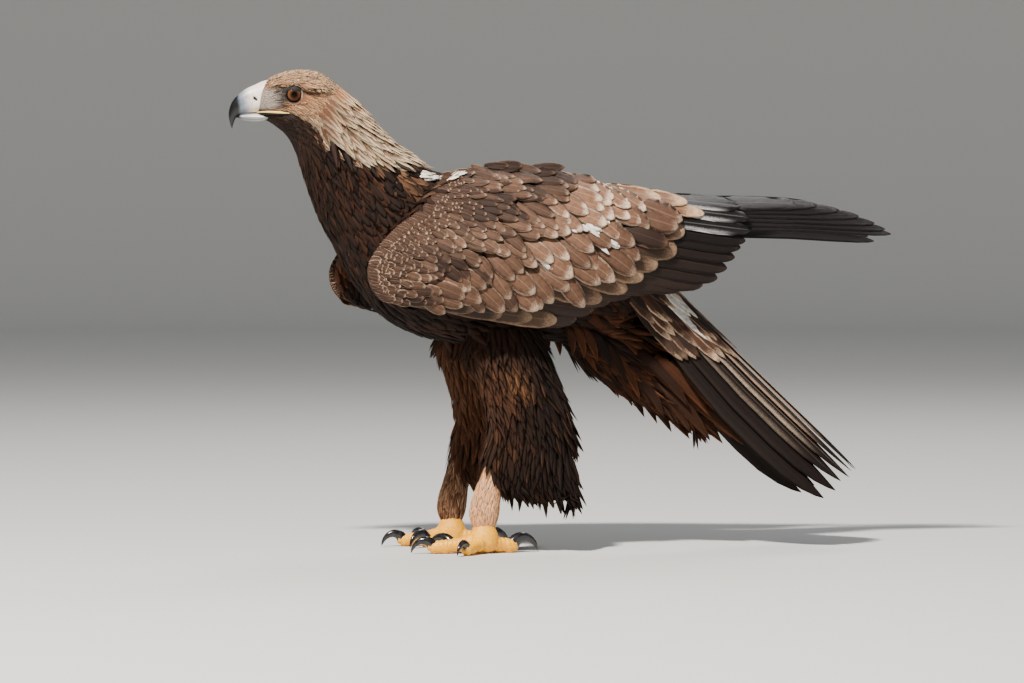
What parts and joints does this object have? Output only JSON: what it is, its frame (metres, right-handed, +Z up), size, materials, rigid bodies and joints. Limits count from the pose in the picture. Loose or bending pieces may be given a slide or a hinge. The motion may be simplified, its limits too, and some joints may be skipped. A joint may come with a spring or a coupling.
{
  "type": "golden eagle",
  "caption": "Life-size golden eagle standing with folded wings and raised head, a still model of the kind a museum shows.",
  "frame": {"origin": "on the ground, under the middle of the bird's box", "axes": "+X towards the tail, so the bird faces -X; +Y towards the bird's right side; +Z up"},
  "size_m": [0.7936, 0.2658, 0.5655],
  "materials": {
    "golden_hackles": "pointed golden-buff neck feathers with brown middles",
    "dark_body_feathers": "soft dark brown body feathers",
    "wing_coverts": "mid-brown feathers with pale buff edges",
    "flight_feathers": "dark grey-brown, slightly glossy vanes",
    "tail_feathers": "grey-brown vanes with black tips, slightly glossy",
    "rufous_coverts": "soft rufous brown feathers",
    "leg_feathers": "long soft dark brown feathers",
    "buff_leg_feathers": "short dense buff feathers",
    "yellow_scaled_skin": "yellow skin with fine scales",
    "yellow_cere": "smooth waxy pale yellow skin",
    "grey_bill_horn": "smooth horn, pale grey with a black tip",
    "black_claw_horn": "smooth glossy black horn",
    "eye": "glossy amber-brown iris with a black pupil"
  },
  "bodies": {
    "root": {"bill_lower": "grey_bill_horn", "bill_upper": "grey_bill_horn", "cere": "yellow_cere", "claw_hind_left": "black_claw_horn", "claw_hind_right": "black_claw_horn", "claw_inner_left": "black_claw_horn", "claw_inner_right": "black_claw_horn", "claw_middle_left": "black_claw_horn", "claw_middle_right": "black_claw_horn", "claw_outer_left": "black_claw_horn", "claw_outer_right": "black_claw_horn", "eye_left": "eye", "eye_right": "eye", "foot_left": "yellow_scaled_skin", "foot_right": "yellow_scaled_skin", "head": "golden_hackles", "neck": "golden_hackles", "tail_left": "tail_feathers", "tail_right": "tail_feathers", "tarsus_left": "buff_leg_feathers", "tarsus_right": "buff_leg_feathers", "thigh_left": "leg_feathers", "thigh_right": "leg_feathers", "torso": "dark_body_feathers", "undertail_coverts": "rufous_coverts", "wing_arm_left": "wing_coverts", "wing_arm_right": "wing_coverts", "wing_primaries_left": "flight_feathers", "wing_primaries_right": "flight_feathers", "wing_secondaries_left": "flight_feathers", "wing_secondaries_right": "flight_feathers"}
  },
  "joints": []
}
